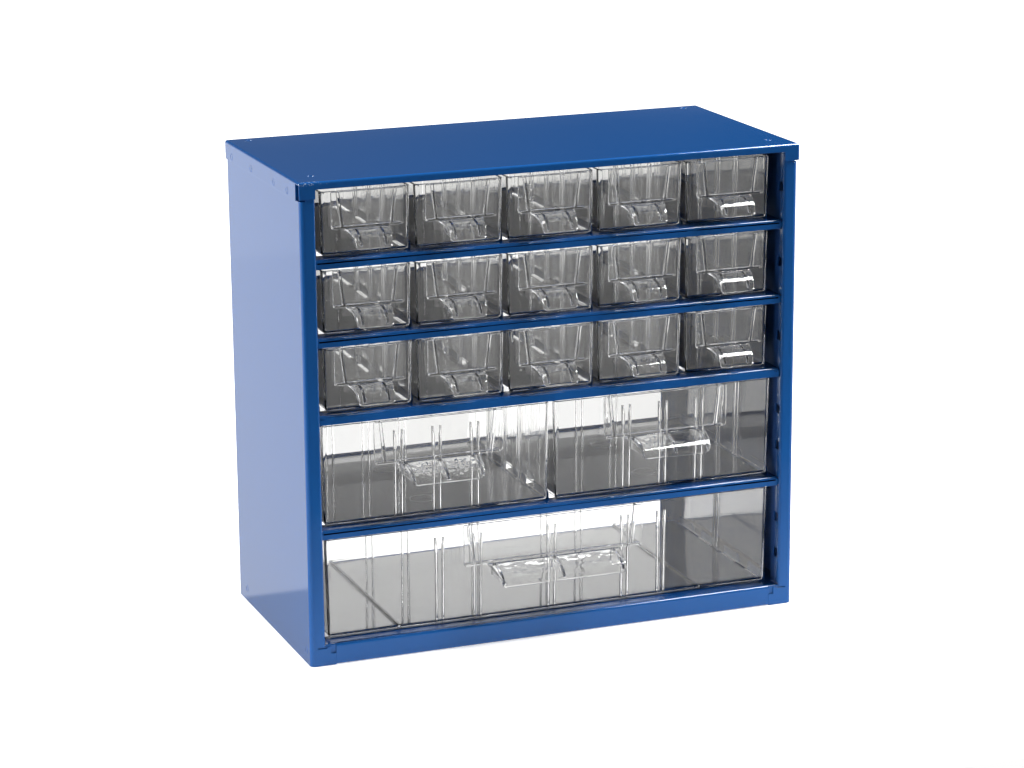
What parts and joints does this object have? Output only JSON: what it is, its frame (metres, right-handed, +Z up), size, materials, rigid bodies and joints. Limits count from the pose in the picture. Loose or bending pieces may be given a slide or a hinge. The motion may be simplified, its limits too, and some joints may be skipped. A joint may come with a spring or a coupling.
{
  "type": "parts bin cabinet",
  "caption": "Small bench cabinet of folded painted sheet steel with clear sliding drawers of several sizes, for sorting small parts.",
  "frame": {"origin": "on the surface the cabinet stands on, under the middle of its whole outline", "axes": "+X to the right seen from the front, +Y to the back, +Z up; the drawers open towards -Y"},
  "size_m": [0.306, 0.157, 0.282],
  "materials": {
    "painted_steel": "gloss",
    "clear_plastic": "polished clear"
  },
  "bodies": {
    "cabinet": {"left_side_panel": "painted_steel", "right_side_panel": "painted_steel", "top_cover": "painted_steel", "bottom_panel": "painted_steel", "shelf_1": "painted_steel", "shelf_2": "painted_steel", "shelf_3": "painted_steel", "shelf_4": "painted_steel"},
    "small_drawer_1_1": {"small_drawer_1_1": "clear_plastic"},
    "small_drawer_1_2": {"small_drawer_1_2": "clear_plastic"},
    "small_drawer_1_3": {"small_drawer_1_3": "clear_plastic"},
    "small_drawer_1_4": {"small_drawer_1_4": "clear_plastic"},
    "small_drawer_1_5": {"small_drawer_1_5": "clear_plastic"},
    "small_drawer_2_1": {"small_drawer_2_1": "clear_plastic"},
    "small_drawer_2_2": {"small_drawer_2_2": "clear_plastic"},
    "small_drawer_2_3": {"small_drawer_2_3": "clear_plastic"},
    "small_drawer_2_4": {"small_drawer_2_4": "clear_plastic"},
    "small_drawer_2_5": {"small_drawer_2_5": "clear_plastic"},
    "small_drawer_3_1": {"small_drawer_3_1": "clear_plastic"},
    "small_drawer_3_2": {"small_drawer_3_2": "clear_plastic"},
    "small_drawer_3_3": {"small_drawer_3_3": "clear_plastic"},
    "small_drawer_3_4": {"small_drawer_3_4": "clear_plastic"},
    "small_drawer_3_5": {"small_drawer_3_5": "clear_plastic"},
    "medium_drawer_left": {"medium_drawer_left": "clear_plastic"},
    "medium_drawer_right": {"medium_drawer_right": "clear_plastic"},
    "large_drawer": {"large_drawer": "clear_plastic"}
  },
  "joints": [
    {"name": "small_drawer_1_1_slide", "type": "slide", "parent": "cabinet", "child": "small_drawer_1_1", "axis": [0, -1, 0], "range_m": [0, 0.11]},
    {"name": "small_drawer_1_2_slide", "type": "slide", "parent": "cabinet", "child": "small_drawer_1_2", "axis": [0, -1, 0], "range_m": [0, 0.11]},
    {"name": "small_drawer_1_3_slide", "type": "slide", "parent": "cabinet", "child": "small_drawer_1_3", "axis": [0, -1, 0], "range_m": [0, 0.11]},
    {"name": "small_drawer_1_4_slide", "type": "slide", "parent": "cabinet", "child": "small_drawer_1_4", "axis": [0, -1, 0], "range_m": [0, 0.11]},
    {"name": "small_drawer_1_5_slide", "type": "slide", "parent": "cabinet", "child": "small_drawer_1_5", "axis": [0, -1, 0], "range_m": [0, 0.11]},
    {"name": "small_drawer_2_1_slide", "type": "slide", "parent": "cabinet", "child": "small_drawer_2_1", "axis": [0, -1, 0], "range_m": [0, 0.11]},
    {"name": "small_drawer_2_2_slide", "type": "slide", "parent": "cabinet", "child": "small_drawer_2_2", "axis": [0, -1, 0], "range_m": [0, 0.11]},
    {"name": "small_drawer_2_3_slide", "type": "slide", "parent": "cabinet", "child": "small_drawer_2_3", "axis": [0, -1, 0], "range_m": [0, 0.11]},
    {"name": "small_drawer_2_4_slide", "type": "slide", "parent": "cabinet", "child": "small_drawer_2_4", "axis": [0, -1, 0], "range_m": [0, 0.11]},
    {"name": "small_drawer_2_5_slide", "type": "slide", "parent": "cabinet", "child": "small_drawer_2_5", "axis": [0, -1, 0], "range_m": [0, 0.11]},
    {"name": "small_drawer_3_1_slide", "type": "slide", "parent": "cabinet", "child": "small_drawer_3_1", "axis": [0, -1, 0], "range_m": [0, 0.11]},
    {"name": "small_drawer_3_2_slide", "type": "slide", "parent": "cabinet", "child": "small_drawer_3_2", "axis": [0, -1, 0], "range_m": [0, 0.11]},
    {"name": "small_drawer_3_3_slide", "type": "slide", "parent": "cabinet", "child": "small_drawer_3_3", "axis": [0, -1, 0], "range_m": [0, 0.11]},
    {"name": "small_drawer_3_4_slide", "type": "slide", "parent": "cabinet", "child": "small_drawer_3_4", "axis": [0, -1, 0], "range_m": [0, 0.11]},
    {"name": "small_drawer_3_5_slide", "type": "slide", "parent": "cabinet", "child": "small_drawer_3_5", "axis": [0, -1, 0], "range_m": [0, 0.11]},
    {"name": "medium_drawer_left_slide", "type": "slide", "parent": "cabinet", "child": "medium_drawer_left", "axis": [0, -1, 0], "range_m": [0, 0.11]},
    {"name": "medium_drawer_right_slide", "type": "slide", "parent": "cabinet", "child": "medium_drawer_right", "axis": [0, -1, 0], "range_m": [0, 0.11]},
    {"name": "large_drawer_slide", "type": "slide", "parent": "cabinet", "child": "large_drawer", "axis": [0, -1, 0], "range_m": [0, 0.11]}
  ]
}
